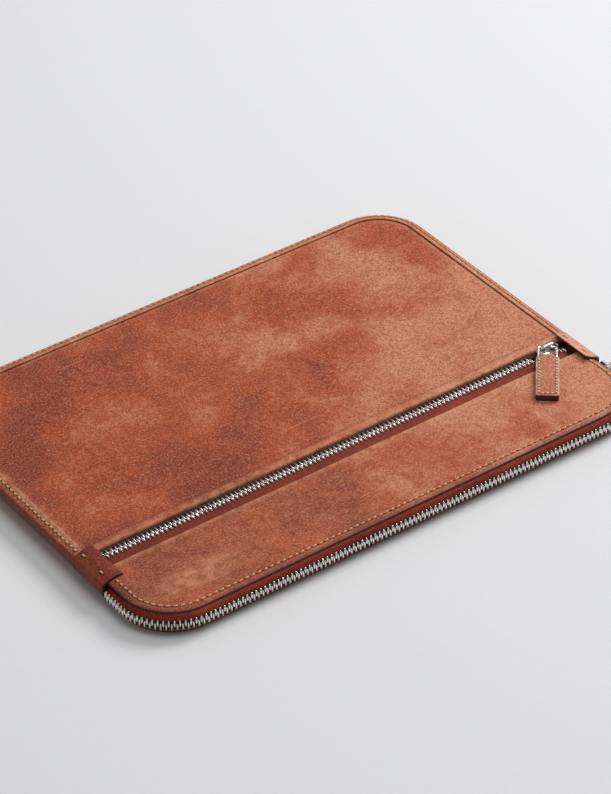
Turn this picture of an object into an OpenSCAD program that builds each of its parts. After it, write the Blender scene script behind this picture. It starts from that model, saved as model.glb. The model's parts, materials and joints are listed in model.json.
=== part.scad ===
// Zipped leather document case, lying flat on its back panel.
// X runs along the zips, Y from the zip mouth to the closed back edge, Z up.
// The origin is on the underside, at the middle of the case.

/* [Case] */
// Width over the edge binding
case_w = 297; // [240:1:360]
// Depth from the mouth zip's teeth to the back edge
case_d = 217; // [180:1:262]
// Thickness of the closed case
case_t = 13; // [13:0.5:18]
// Corner radius at the mouth
front_r = 30; // [24:1:38]
// Corner radius at the back
back_r = 28; // [20:1:38]
// How far in from the sides behind the tabs the case reaches its full thickness
crown_side = 11; // [9:0.5:13]
// How far in from the back edge the case reaches its full thickness
crown_back = 28; // [20:1:36]
// Half thickness of the sewn side and back edges, without the binding
rim_h = 2; // [1.6:0.1:2.6]

/* [Leather and lining] */
// Thickness of the panel leather
leather_t = 1.5; // [1.2:0.1:1.8]
// Thickness of the lining cloth
lining_t = 0.35; // [0.2:0.05:0.5]
// How far the panels stay behind the mouth zip's outer face
panel_in = 3.2; // [2.4:0.1:4.5]
// Thickness of the edge binding
binding_t = 1.2; // [0.8:0.1:1.6]
// Width of the edge binding on each face
binding_w = 6.35; // [5:0.05:9]
// Distance of a stitch line from its edge
stitch_in = 3.4; // [2.5:0.1:4.5]
// Thickness of the sewing thread
thread_d = 0.7; // [0.4:0.1:1]

/* [Tabs over the zip ends] */
// Length of a tab along the side
tab_l = 25.5; // [20:0.5:32]
// Leather thickness of a tab
tab_t = 1.4; // [1:0.1:1.8]
// Reach of the left tab over the front face
tab_left_reach = 11.5; // [9:0.5:14]
// Reach of the right tab over the front face
tab_right_reach = 8.5; // [7:0.5:9]
// Reach of both tabs over the back face
tab_back_reach = 5.5; // [4:0.5:7]
// Distance from the pocket zip forward to a tab's front edge
tab_ahead = 18.5; // [16:0.5:22]

/* [Zips] */
// Distance between the teeth of one row
tooth_pitch = 2.54; // [2.4:0.02:3.2]
// Width of a tooth along the zip
tooth_w = 1.16; // [0.9:0.02:1.18]
// Reach of a tooth out from the zip's centre line
tooth_reach = 2.95; // [2.4:0.05:3]
// Reach of a tooth's head past the centre line
tooth_hook = 0.8; // [0.5:0.05:1]
// Thickness of a tooth through the tape
tooth_t = 2; // [1.6:0.1:2.2]
// Thickness of the zip tape
tape_t = 0.6; // [0.4:0.05:0.7]
// Distance of a tape's edge from the zip's centre line
tape_edge = 1.4; // [1.2:0.1:1.8]
// Width of the part of a tape that is sewn under a panel
tape_seam = 9; // [6:0.5:12]
// Distance of the pocket zip's centre line from the back edge
pocket_back = 155.6; // [130:0.2:158]
// Gap from the pocket zip's centre line to the upper panel
slit_above = 4.1; // [4.1:0.1:6]
// Gap from the pocket zip's centre line to the lower panel
slit_below = 9.2; // [7:0.1:10]

/* [Sliders] */
// Length of a slider
slider_l = 10.6; // [9.5:0.1:12]
// Width of a slider
slider_w = 7.6; // [7.2:0.1:7.6]
// Thickness of a slider's outer plate
plate_t = 1; // [0.8:0.1:1.2]
// Thickness of a slider's inner plate
inner_plate_t = 0.7; // [0.5:0.1:0.7]
// Distance of the pocket slider's centre from the right edge
slider_in = 18; // [14.7:0.1:20]
// Clear height under a slider's bridge
bridge_gap = 2.8; // [2.4:0.1:3.4]

/* [Pulls] */
// Wire diameter of the ring between a slider and its pull
wire_d = 1.3; // [1:0.1:1.5]
// Width of the ring between its wire centres
ring_w = 9.2; // [8:0.1:11]
// Length of the ring between its wire centres
ring_l = 9; // [6.2:0.1:10.8]
// Length of a leather pull
pull_l = 35.6; // [26:0.1:42]
// Width of a leather pull
pull_w = 11.6; // [9.8:0.1:12.8]
// Thickness of a leather pull
pull_t = 3.6; // [3:0.1:3.6]
// Direction of the pocket pull, from +X
pocket_yaw = 230.6; // [215:0.1:250]

/* [Inner pockets] */
// Width of the document pocket
document_w = 128; // [90:1:134]
// Depth of the document pocket
document_d = 120; // [80:1:130]
// Width of the card pocket
card_w = 92; // [86:1:100]
// Depth of the card pocket
card_d = 72; // [60:1:90]
// Step between two card slots
card_step = 12; // [8:1:14]
// Thickness of the inner pockets
inner_t = 0.6; // [0.4:0.1:0.7]

/* [Hidden] */

// Gap between pieces that pass each other
gap = 0.3;
// Gap between a slider's plates and the teeth
slide_gap = 0.1;
// Radial clearance of a pull on its ring
eye_gap = 0.08;
// Amount by which a cutting shape runs past what it cuts
past = 1;
// Height by which a thread stands proud
thread_h = thread_d / 2;
// Corner radius of the full-thickness region at the back
crown_r = 20;
// Half height of the flat band that carries the mouth zip
band_h = 4;
// Bend radius at a ring's corners
ring_r = 1.3;

half_w = case_w / 2;
front_y = -case_d / 2;
back_y = case_d / 2;
mid_z = case_t / 2;
crown_h = case_t / 2;
under_leather = crown_h - leather_t;
under_tape = under_leather - tape_t;

pocket_y = back_y - pocket_back;
pocket_z = mid_z + under_leather - tape_t / 2;
tab_front_y = pocket_y - tab_ahead;
tab_back_y = tab_front_y + tab_l;
fold_y = tab_front_y - gap;
panel_edge_y = pocket_y + slit_above;
lower_edge_y = pocket_y - slit_below;

// Linings: the pocket's own lining clears the slider's inner plate
slider_low = under_leather - tape_t / 2 - tooth_t / 2 - slide_gap - inner_plate_t;
pocket_lining_top = slider_low - gap;
front_lining_top = pocket_lining_top - lining_t - 0.05;
back_lining_top = under_tape - slide_gap - lining_t;
lining_in = tooth_t + slide_gap + inner_plate_t + 2 * gap;

// Pocket zip
pocket_slider_x = half_w - slider_in;
teeth_left_x = -half_w + max(tab_left_reach, crown_side + 0.5) + tooth_w;
teeth_right_x = pocket_slider_x - slider_l / 2 - tooth_w;
pocket_teeth = floor((teeth_right_x - teeth_left_x) / tooth_pitch);

// Mouth zip: down the left side, round the front and a little way up the right side
main_x = half_w - tooth_t / 2;
main_r = front_r - tooth_t / 2;
main_slider_y = fold_y - gap - slider_l / 2;
left_run = fold_y - tooth_w - (front_y + front_r);
corner_run = main_r * PI / 2;
front_run = case_w - 2 * front_r;
right_run = max(0, main_slider_y - slider_l / 2 - tooth_w - (front_y + front_r));
main_run = left_run + 2 * corner_run + front_run + right_run;
main_teeth = floor(main_run / tooth_pitch);

// Height of the ring's wire over the middle of the teeth
ring_z = max(tooth_t / 2 + slide_gap + plate_t + bridge_gap - wire_d / 2 - 0.35, pull_t / 2 + leather_t + tape_t / 2 + gap);
bridge_top = ring_z + wire_d / 2 + 0.35 + 0.9;

// ---------- outlines ----------

// Outline of the case, set in by d
module outline(d = 0) {
    x = half_w - d;
    translate([-x, front_y + front_r]) square([2 * x, case_d - front_r - back_r]);
    translate([-half_w + front_r, front_y + d]) square([case_w - 2 * front_r, case_d / 2]);
    translate([-half_w + back_r, 0]) square([case_w - 2 * back_r, back_y - d]);
    for (side = [-1, 1]) {
        translate([side * (half_w - front_r), front_y + front_r]) circle(r = front_r - d, $fn = 64);
        translate([side * (half_w - back_r), back_y - back_r]) circle(r = back_r - d, $fn = 64);
    }
}

// Outline of the region at full thickness behind the tabs, set in by d
module rear_crown(d = 0) {
    x = half_w - crown_side - d;
    hull() {
        translate([-x, front_y + panel_in + d]) square([2 * x, case_d / 2]);
        for (side = [-1, 1])
            translate([side * (half_w - crown_side - crown_r), back_y - crown_back - crown_r])
                circle(r = crown_r - d, $fn = 64);
    }
}

// Solid from the middle plane up to a puffed surface: edge_h high at the rim, full_h in the middle.
// Beside the mouth it is full right out to the panels' edge.
module puff(mouth, inset, edge_h, full_h) {
    hull() {
        linear_extrude(edge_h) outline(inset);
        linear_extrude(full_h) {
            if (mouth) outline(panel_in);
            else intersection() {
                rear_crown(inset - binding_t);
                outline(inset + 1);
            }
        }
    }
}

// Layer between two puffed surfaces, on the front face (side = 1) or the back face (side = -1)
module layer(side, mouth, inset, edge_high, full_high, thick, edge_low) {
    translate([0, 0, mid_z]) mirror([0, 0, side < 0 ? 1 : 0]) difference() {
        puff(mouth, inset, edge_high, full_high);
        translate([0, 0, -past]) linear_extrude(past + 0.001) outline(-past);
        puff(mouth, inset + 0.4, edge_low, full_high - thick);
    }
}

// Tall block that covers the case between two Y positions
module between(y0, y1) {
    translate([-half_w - 20, y0, -20]) cube([case_w + 40, y1 - y0, case_t + 40]);
}

// Tall band along the outline, between two set-ins
module band(outer, inner) {
    translate([0, 0, -20]) linear_extrude(case_t + 40) difference() {
        outline(outer);
        outline(inner);
    }
}

// ---------- panels ----------

// Leather behind the tabs, where both faces are sewn to a thin edge
module rear_leather(side) {
    intersection() {
        layer(side, false, binding_t, rim_h, crown_h, leather_t, rim_h - leather_t);
        between(fold_y, back_y + past);
    }
}

// Leather beside the mouth zip
module mouth_leather(side) {
    intersection() {
        layer(side, true, tape_t, band_h + leather_t, crown_h, leather_t, band_h);
        translate([0, 0, -20]) linear_extrude(case_t + 40) outline(panel_in);
    }
}

module back_panel() {
    color("peru") difference() {
        union() {
            rear_leather(-1);
            intersection() {
                mouth_leather(-1);
                between(front_y, fold_y);
            }
        }
        back_thread_groove();
    }
}

module back_thread_groove() {
    translate([0, 0, -past]) linear_extrude(past + thread_h) intersection() {
        difference() {
            outline(panel_in + stitch_in - thread_d / 2);
            outline(panel_in + stitch_in + thread_d / 2);
        }
        translate([-half_w, front_y]) square([case_w, front_r]);
    }
}

module back_panel_stitching() {
    color("burlywood") intersection() {
        back_thread_groove();
        linear_extrude(case_t) outline();
    }
}

module front_panel() {
    color("peru") intersection() {
        rear_leather(1);
        between(panel_edge_y, back_y + past);
    }
}

module lower_panel_root() {
    color("peru") intersection() {
        rear_leather(1);
        between(fold_y, lower_edge_y);
    }
}

module lower_panel() {
    color("peru") intersection() {
        mouth_leather(1);
        between(front_y, fold_y - gap / 2);
    }
}

module lower_panel_stitching() {
    color("burlywood") intersection() {
        layer(1, true, tape_t, band_h + leather_t + thread_h, crown_h + thread_h, thread_h, band_h + leather_t);
        band(panel_in + stitch_in - thread_d / 2, panel_in + stitch_in + thread_d / 2);
        between(front_y, fold_y - gap / 2);
    }
}

// ---------- binding and tabs ----------

// Whole case behind the mouth, grown by d on every side
module rear_body(d) {
    translate([0, 0, mid_z]) for (side = [0, 1]) mirror([0, 0, side]) hull() {
        linear_extrude(rim_h + d) outline(binding_t - d);
        linear_extrude(crown_h + d) rear_crown();
    }
}

module edge_binding() {
    color("sienna") intersection() {
        difference() {
            rear_body(binding_t);
            rear_body(0);
        }
        band(-past, binding_w);
        between(tab_back_y, back_y + past);
    }
}

module binding_stitching() {
    color("burlywood") intersection() {
        difference() {
            rear_body(binding_t + thread_h);
            rear_body(binding_t);
        }
        band(stitch_in - thread_d / 2, stitch_in + thread_d / 2);
        between(tab_back_y + gap, back_y + past);
    }
}

// A tab folded over the side edge; side is -1 on the left and 1 on the right
module tab(side, reach) {
    color("saddlebrown") intersection() {
        difference() {
            rear_body(tab_t);
            rear_body(0);
        }
        union() {
            translate([side > 0 ? half_w - reach : -half_w - 20, tab_front_y, mid_z])
                cube([reach + 20, tab_l, case_t]);
            translate([side > 0 ? half_w - tab_back_reach : -half_w - 20, tab_front_y, 0])
                cube([tab_back_reach + 20, tab_l, mid_z]);
        }
    }
}

module tab_left() {
    tab(-1, tab_left_reach);
}

module tab_right() {
    tab(1, tab_right_reach);
}

// Two single stitches through each tab, near its folded edge
module tab_stitches() {
    color("burlywood") intersection() {
        difference() {
            rear_body(tab_t + thread_h);
            rear_body(tab_t);
        }
        for (side = [-1, 1], y = [tab_front_y + tab_l * 0.27, tab_front_y + tab_l * 0.86])
            translate([side * (half_w - stitch_in) - thread_d / 2, y - 1.2, mid_z])
                cube([thread_d, 2.4, case_t]);
    }
}

// ---------- zips ----------

// One tooth: its head hooks past the centre line, its foot grips the tape
module tooth() {
    w = tooth_w / 2;
    linear_extrude(tooth_t, center = true) polygon([
        [-w, tooth_reach], [w, tooth_reach], [w, 0.35 - tooth_hook],
        [w / 2, -tooth_hook], [-w / 2, -tooth_hook], [-w, 0.35 - tooth_hook]
    ]);
}

// A flat tape of the pocket zip, cut back along the teeth's feet
module pocket_tape(side, width) {
    color("brown") difference() {
        translate([-half_w + crown_side, side > 0 ? pocket_y + tape_edge : pocket_y - tape_edge - width,
            pocket_z - tape_t / 2])
            cube([case_w - 2 * crown_side, width, tape_t]);
        translate([teeth_left_x - tooth_w / 2, pocket_y - tooth_reach, pocket_z - tooth_t])
            cube([pocket_teeth * tooth_pitch, 2 * tooth_reach, 2 * tooth_t]);
    }
}

module pocket_tape_upper() {
    pocket_tape(1, slit_above - tape_edge + tape_seam);
}

module pocket_tape_lower() {
    pocket_tape(-1, slit_below - tape_edge + tape_seam / 2);
}

module pocket_row(side) {
    color("silver") for (i = [0 : pocket_teeth - 2])
        translate([teeth_left_x + (i + (side > 0 ? 0 : 0.5)) * tooth_pitch, pocket_y, pocket_z])
            mirror([0, side > 0 ? 0 : 1, 0]) tooth();
}

module pocket_teeth_upper() {
    pocket_row(1);
}

module pocket_teeth_lower() {
    pocket_row(-1);
}

// A bar across both tapes at the left end, half under the tab
module pocket_zip_stop() {
    x0 = -half_w + crown_side;
    color("silver") translate([x0, pocket_y - tape_edge, pocket_z - tooth_t / 2 + 0.2])
        cube([teeth_left_x - tooth_w / 2 - 0.1 - x0, 2 * tape_edge, tooth_t - 0.4]);
}

// Place on the mouth zip's centre line, s along it: x, y and the outward direction
function station(s) =
    s < left_run ? [-main_x, fold_y - tooth_w - s, 180] :
    s < left_run + corner_run ? corner(-1, 180 + (s - left_run) / corner_run * 90) :
    s < left_run + corner_run + front_run ?
        [-half_w + front_r + s - left_run - corner_run, front_y + tooth_t / 2, 270] :
    s < left_run + 2 * corner_run + front_run ?
        corner(1, 270 + (s - left_run - corner_run - front_run) / corner_run * 90) :
    [main_x, front_y + front_r + s - left_run - 2 * corner_run - front_run, 360];

function corner(side, a) =
    [side * (half_w - front_r) + main_r * cos(a), front_y + front_r + main_r * sin(a), a];

module main_row(side) {
    color("silver") for (i = [0 : main_teeth - 2]) {
        p = station((i + (side > 0 ? 0 : 0.5)) * tooth_pitch);
        translate([p[0], p[1], mid_z]) rotate([0, 0, p[2] - 270]) rotate([90, 0, 0])
            mirror([0, side > 0 ? 0 : 1, 0]) tooth();
    }
}

module main_teeth_front() {
    main_row(1);
}

module main_teeth_back() {
    main_row(-1);
}

// Half of the mouth zip's gusset: up from the teeth, out round the edge and in under the panel
module main_tape(side) {
    color("brown") difference() {
        intersection() {
            layer(side, true, tooth_t / 2 - tape_t / 2, band_h, under_leather, tape_t, band_h - 0.2);
            band(0, panel_in + tape_seam);
            between(front_y, fold_y - gap / 2);
        }
        translate([-half_w, front_y, mid_z - tooth_reach - 0.05])
            cube([case_w, case_d, 2 * tooth_reach + 0.1]);
    }
}

module main_tape_front() {
    main_tape(1);
}

module main_tape_back() {
    main_tape(-1);
}

// ---------- linings and inner pockets ----------

module pocket_lining() {
    color("tan") translate([0, 0, mid_z + pocket_lining_top - lining_t]) linear_extrude(lining_t) intersection() {
        rear_crown(3);
        translate([-half_w, fold_y]) square([case_w, case_d]);
    }
}

module front_lining() {
    color("tan") intersection() {
        layer(1, false, lining_in, 0.45, front_lining_top, lining_t, 0.1);
        between(fold_y, back_y);
    }
}

module back_lining() {
    color("tan") layer(-1, false, lining_in, 0.45, back_lining_top + lining_t, lining_t, 0.1);
}

module flap_lining() {
    color("tan") intersection() {
        layer(1, false, lining_in, 0.45, back_lining_top + lining_t, lining_t, 0.1);
        between(front_y, fold_y - gap / 2);
    }
}

module document_pocket() {
    color("tan") translate([-document_w, -document_d / 2, mid_z - back_lining_top])
        cube([document_w - 4, document_d, inner_t]);
}

// Three card slots, each mouth a shallow step in the pocket's face
module card_pocket() {
    color("peru") difference() {
        translate([8, -card_d / 2, mid_z - back_lining_top]) cube([card_w, card_d, inner_t]);
        for (i = [1 : 3])
            translate([11, -card_d / 2 + i * card_step, mid_z - back_lining_top + inner_t - 0.2])
                cube([card_w - 6, 0.6, past]);
    }
}

// ---------- sliders, rings and pulls ----------
// Each is drawn about the middle of the teeth: X along the zip towards its closed end, Z outward.

module slider_outline() {
    a = slider_l / 2;
    w = slider_w / 2;
    polygon([
        [-a, -w + 0.5], [-a + 0.6, -w + 0.1], [0, -w], [a - 1.6, -w], [a, -w + 1.4],
        [a, w - 1.4], [a - 1.6, w], [0, w], [-a + 0.6, w - 0.1], [-a, w - 0.5]
    ]);
}

module slider() {
    z = tooth_t / 2 + slide_gap;
    color("silver") {
        translate([0, 0, z]) linear_extrude(plate_t) slider_outline();
        translate([0, 0, -z - inner_plate_t]) linear_extrude(inner_plate_t) slider_outline();
        translate([slider_l / 2 - 3, 0, -z]) linear_extrude(2 * z)
            polygon([[-1.6, 0], [0, -0.9], [1.8, 0], [0, 0.9]]);
        for (side = [-1, 1])
            translate([-slider_l / 4, side * (slider_w / 2 - 0.3) - 0.3, tape_t / 2 + gap])
                cube([slider_l / 2, 0.6, z - tape_t / 2 - gap]);
        difference() {
            translate([-3.8, -1.2, z + plate_t]) cube([7.6, 2.4, bridge_top - z - plate_t]);
            translate([-2.7, -past - 1.2, z + plate_t - 0.01])
                cube([5.4, 2.4 + 2 * past, bridge_top - 0.9 - z - plate_t]);
        }
    }
}

// Wire ring in the XY plane: one bar at the origin, the other ring_l out along X
module ring() {
    w = ring_w / 2 - ring_r;
    color("silver") {
        for (x = [0, ring_l]) translate([x, 0, 0]) rotate([90, 0, 0])
            cylinder(d = wire_d, h = 2 * w, center = true, $fn = 32);
        for (side = [-1, 1]) translate([ring_r, side * ring_w / 2, 0]) rotate([0, 90, 0])
            cylinder(d = wire_d, h = ring_l - 2 * ring_r, $fn = 32);
        for (c = [[ring_r, -w, 180], [ring_l - ring_r, -w, 270], [ring_l - ring_r, w, 0], [ring_r, w, 90]])
            translate([c[0], c[1], 0]) rotate([0, 0, c[2]])
                rotate_extrude(angle = 90, $fn = 64) translate([ring_r, 0]) circle(d = wire_d, $fn = 32);
    }
}

// Leather pull folded round the ring's far bar
module pull() {
    eye_w = ring_w - 2 * ring_r + 0.4;
    shoulder = wire_d / 2 + 2 * gap;
    body_l = pull_l - pull_t / 2 - shoulder;
    color("sienna") difference() {
        union() {
            rotate([90, 0, 0]) cylinder(d = pull_t, h = eye_w, center = true, $fn = 48);
            translate([0, -eye_w / 2, -pull_t / 2]) cube([shoulder + past, eye_w, pull_t]);
            translate([shoulder, -pull_w / 2, -pull_t / 2]) cube([body_l, pull_w, pull_t]);
        }
        rotate([90, 0, 0]) cylinder(d = wire_d + 2 * eye_gap, h = pull_w, center = true, $fn = 48);
    }
}

// Stitch line down both long edges and across the free end of a pull
module pull_stitching() {
    edge = 1.5;
    x1 = pull_l - pull_t / 2 - edge;
    color("burlywood") translate([0, 0, pull_t / 2]) linear_extrude(thread_h) difference() {
        translate([pull_t / 2 + edge, -pull_w / 2 + edge]) square([x1 - pull_t / 2 - edge, pull_w - 2 * edge]);
        translate([pull_t / 2, -pull_w / 2 + edge + thread_d])
            square([x1 - pull_t / 2 - thread_d, pull_w - 2 * edge - 2 * thread_d]);
    }
}

module on_pocket_slider() {
    translate([pocket_slider_x, pocket_y, pocket_z]) children();
}

module on_main_slider() {
    translate([main_x, main_slider_y, mid_z]) rotate([90, 0, 90]) children();
}

module pocket_slider() {
    on_pocket_slider() slider();
}

module pocket_ring() {
    on_pocket_slider() translate([0, 0, ring_z]) rotate([0, 0, pocket_yaw]) ring();
}

module pocket_pull() {
    on_pocket_slider() translate([0, 0, ring_z]) rotate([0, 0, pocket_yaw]) translate([ring_l, 0, 0]) pull();
}

module pocket_pull_stitching() {
    on_pocket_slider() translate([0, 0, ring_z]) rotate([0, 0, pocket_yaw])
        translate([ring_l, 0, 0]) pull_stitching();
}

module main_slider() {
    on_main_slider() slider();
}

module main_ring() {
    on_main_slider() translate([0, 0, ring_z]) rotate([0, 0, 180]) ring();
}

module main_pull() {
    on_main_slider() translate([0, 0, ring_z]) rotate([0, 0, 180]) translate([ring_l, 0, 0]) pull();
}

module main_pull_stitching() {
    on_main_slider() translate([0, 0, ring_z]) rotate([0, 0, 180])
        translate([ring_l, 0, 0]) pull_stitching();
}

back_panel();
back_panel_stitching();
front_panel();
lower_panel_root();
edge_binding();
binding_stitching();
tab_left();
tab_right();
tab_stitches();
pocket_tape_upper();
pocket_tape_lower();
pocket_teeth_upper();
pocket_teeth_lower();
pocket_zip_stop();
pocket_lining();
front_lining();
back_lining();
document_pocket();
card_pocket();
main_tape_back();
main_teeth_back();
lower_panel();
lower_panel_stitching();
flap_lining();
main_tape_front();
main_teeth_front();
pocket_slider();
pocket_ring();
pocket_pull();
pocket_pull_stitching();
main_slider();
main_ring();
main_pull();
main_pull_stitching();
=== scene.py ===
# %% [markdown]
# # A zipped leather document case
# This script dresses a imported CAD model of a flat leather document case. The CAD model stays as it is: it
# says where every piece lies and how the moving ones move. Here each visible piece gets its final shape
# and finish. Lengths are in millimetres in the code and are turned to metres where a mesh is made.

# %% Load the frame
import json
import math

import bmesh
import bpy
import numpy as np
from mathutils import Matrix, Vector, noise


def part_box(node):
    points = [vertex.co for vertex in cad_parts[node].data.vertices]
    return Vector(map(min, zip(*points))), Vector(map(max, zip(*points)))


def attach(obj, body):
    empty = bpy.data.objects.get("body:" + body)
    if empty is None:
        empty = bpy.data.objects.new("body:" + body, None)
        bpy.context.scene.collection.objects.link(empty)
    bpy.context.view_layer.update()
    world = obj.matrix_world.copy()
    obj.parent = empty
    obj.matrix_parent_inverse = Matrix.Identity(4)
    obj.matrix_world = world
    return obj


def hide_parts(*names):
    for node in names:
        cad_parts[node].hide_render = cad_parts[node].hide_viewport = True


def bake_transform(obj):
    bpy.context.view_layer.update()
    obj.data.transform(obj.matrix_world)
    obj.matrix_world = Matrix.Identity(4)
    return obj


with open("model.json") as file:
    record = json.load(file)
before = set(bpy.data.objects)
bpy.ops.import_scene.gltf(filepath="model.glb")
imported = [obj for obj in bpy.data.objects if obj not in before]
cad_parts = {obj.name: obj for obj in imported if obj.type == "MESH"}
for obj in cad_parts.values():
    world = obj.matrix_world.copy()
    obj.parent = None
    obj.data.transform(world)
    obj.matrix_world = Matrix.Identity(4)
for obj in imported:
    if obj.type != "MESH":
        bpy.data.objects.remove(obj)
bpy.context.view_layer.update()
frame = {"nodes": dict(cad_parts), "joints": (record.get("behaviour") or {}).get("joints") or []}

MM = 0.001

# %% [markdown]
# ## Measures
# Places come from the boxes of the CAD nodes and from the joints, so a piece can't drift from the frame.
# What no box shows is written as a number, such as corner radii, the sewn rim and how far in the stitches
# lie.

# %% Measures from the frame
def low(node):
    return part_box(node)[0] / MM


def high(node):
    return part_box(node)[1] / MM


HALF_W = high("edge_binding").x
BACK_Y = high("edge_binding").y
FRONT_Y = low("main_teeth_front").y
MID_Z = (low("edge_binding").z + high("edge_binding").z) / 2
TOP_H = high("lower_panel").z - MID_Z
LEATHER_T = high("lower_panel").z - low("lower_panel").z
PANEL_IN = low("lower_panel").y - FRONT_Y
TAB_FRONT, TAB_BACK = low("tab_left").y, high("tab_left").y
TAB_REACH = {-1: high("tab_left").x + HALF_W, 1: HALF_W - low("tab_right").x}
PANEL_EDGE = low("front_panel").y
LOWER_EDGE = high("lower_panel_root").y
JOINTS = {joint["name"]: joint for joint in frame["joints"]}
FOLD_Y = JOINTS["mouth_open"]["pos_m"][1] / MM
POCKET_X = (low("pocket_slider").x + high("pocket_slider").x) / 2
POCKET_Y = (low("pocket_slider").y + high("pocket_slider").y) / 2
POCKET_Z = (low("pocket_teeth_upper").z + high("pocket_teeth_upper").z) / 2
FRONT_R, BACK_R = 30.0, 28.0
RIM_H, RIM_IN, RIM_LIFT = 2.0, 1.2, 2.5
BINDING_W, BINDING_T = 6.35, 1.2
TAB_T, TAB_BACK_REACH = 1.4, 5.5
STITCH_IN, STITCH_PITCH = 3.4, 3.5
print(f"case {2 * HALF_W:.1f} x {BACK_Y - FRONT_Y:.1f} x {2 * TOP_H:.1f} mm")
print(f"pocket zip at y = {POCKET_Y:.1f}")

# %% [markdown]
# ## The puffed shape
# A stitched case isn't a slab: its faces rise from thin sewn edges to a soft, full middle. One height
# function says how far the leather stands from the middle plane at any place, and every piece that lies on
# the leather, such as the binding, the tabs and the stitches, is laid on that same function.

# %% Height of the leather
# The rise in the middle of the front face, and the distances over which it starts from each side
ARCH_H, ARCH_SIDE, ARCH_FRONT, ARCH_BACK, ARCH_ZIP = 1.3, 12, 45, 110, 30
# Half the width of the strip along the pocket zip that doesn't rise
ZIP_STRIP = 5
# How far in the rim's upward turn reaches, and how far the faces take to rise from the rim
RIM_TURN, FRONT_RAMP, UNDER_RAMP, UNDER_BACK_RAMP = 26, 8, 12, 16
# How far ahead of the back edge the underside's rise starts to get longer, and over what distance
UNDER_BACK_START, UNDER_BACK_OVER = 62, 50
# From how far behind the tabs' front ends, and over what distance, the case takes its mouth's section
MOUTH_START_IN, MOUTH_BLEND = 3, 24
# The lower panel's sewn edge dips by this much, over this distance
EDGE_DIP, EDGE_DIP_REACH = 0.35, 1.6
# The soft waves in the leather: their height, their length in X and in Y, and where their noise starts
WAVES = ((0.35, 42, 34, 1.7), (0.1, 17, 21, 4.1))


def smooth(t):
    t = min(max(t, 0.0), 1.0)
    return t * t * (3 - 2 * t)


def inset_of(x, y):
    """Distance inwards from the outline of the case."""
    r = FRONT_R if y < 0 else BACK_R
    qx = abs(x) - (HALF_W - r)
    qy = (FRONT_Y + r - y) if y < 0 else (y - BACK_Y + r)
    return r - math.hypot(max(qx, 0), max(qy, 0)) - min(max(qx, qy), 0)


def arch(x, y):
    """Extra rise of the front face in its middle; 0 along the pocket zip, which has to run straight."""
    across = max(0.0, 1 - (x / (HALF_W - ARCH_SIDE)) ** 2)
    along = smooth((y - FRONT_Y - 6) / ARCH_FRONT) * smooth((BACK_Y - y) / ARCH_BACK)
    return ARCH_H * across * along * smooth((abs(y - POCKET_Y) - ZIP_STRIP) / ARCH_ZIP)


def mouth_share(y):
    """1 beside the mouth, where the gusset holds the case open, falling to 0 at the tabs."""
    return smooth((TAB_FRONT + MOUTH_START_IN - y) / MOUTH_BLEND)


def middle(x, y):
    """Height of the middle plane: behind the mouth the thin sewn rim turns up off the table."""
    inset = inset_of(x, y)
    return MID_Z + RIM_LIFT * (1 - smooth((inset + 1) / RIM_TURN)) * (1 - mouth_share(y))


def height(x, y, side=1):
    """Height of the leather's outer surface over the middle plane, on the front (1) or the back (-1)."""
    inset = inset_of(x, y)
    lift = middle(x, y) - MID_Z
    ramp = FRONT_RAMP if side > 0 else UNDER_RAMP + UNDER_BACK_RAMP * smooth(
        (y - BACK_Y + UNDER_BACK_START) / UNDER_BACK_OVER)
    t = min(max((inset - RIM_IN) / (ramp - RIM_IN), 0), 1)
    rear = RIM_H + (TOP_H - side * lift - RIM_H) * math.sin(math.pi / 2 * t)
    mouth = TOP_H - EDGE_DIP * math.exp(-max(inset - PANEL_IN, 0) / EDGE_DIP_REACH)
    share = mouth_share(y)
    h = rear * (1 - share) + mouth * share
    if side > 0:
        calm = smooth((inset - 8) / 20)
        wave = sum(noise.noise(Vector((x / wide, y / deep, at))) * rise for rise, wide, deep, at in WAVES)
        h += arch(x, y) + wave * calm
    return h


print(f"leather height {height(0, 20):.2f} in the middle, {height(HALF_W - 2, 20):.2f} at the rim")

# %% [markdown]
# ## Building meshes
# Nearly every piece here is a sheet of leather or cloth with a real thickness, or a section swept along an
# edge. Two builders make both: `sheet` closes a grid of outer points and a grid of inner points into one
# solid, and `sweep` joins a closed section from station to station. A bevel rounds the cut edges, as a
# leather worker does with an edge beveller and a slicker.

# %% Mesh builders
def piece(name, points, faces, materials, face_material=None):
    mesh = bpy.data.meshes.new(name)
    mesh.from_pydata([tuple(float(v) * MM for v in p) for p in points], [], faces)
    for material in materials:
        mesh.materials.append(material)
    if face_material is not None:
        mesh.polygons.foreach_set("material_index", face_material)
    work = bmesh.new()
    work.from_mesh(mesh)
    bmesh.ops.remove_doubles(work, verts=work.verts, dist=1e-7)
    bmesh.ops.recalc_face_normals(work, faces=work.faces)
    work.to_mesh(mesh)
    work.free()
    mesh.shade_smooth()
    made = bpy.data.objects.new(name, mesh)
    bpy.context.scene.collection.objects.link(made)
    return made


def soften(made, width, segments=2, angle=38):
    """Round the hard edges of a piece by a bevel of that width in millimetres."""
    bevel = made.modifiers.new("rounded_edges", "BEVEL")
    bevel.width = width * MM
    bevel.segments = segments
    bevel.limit_method = "ANGLE"
    bevel.angle_limit = math.radians(angle)
    return made


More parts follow.
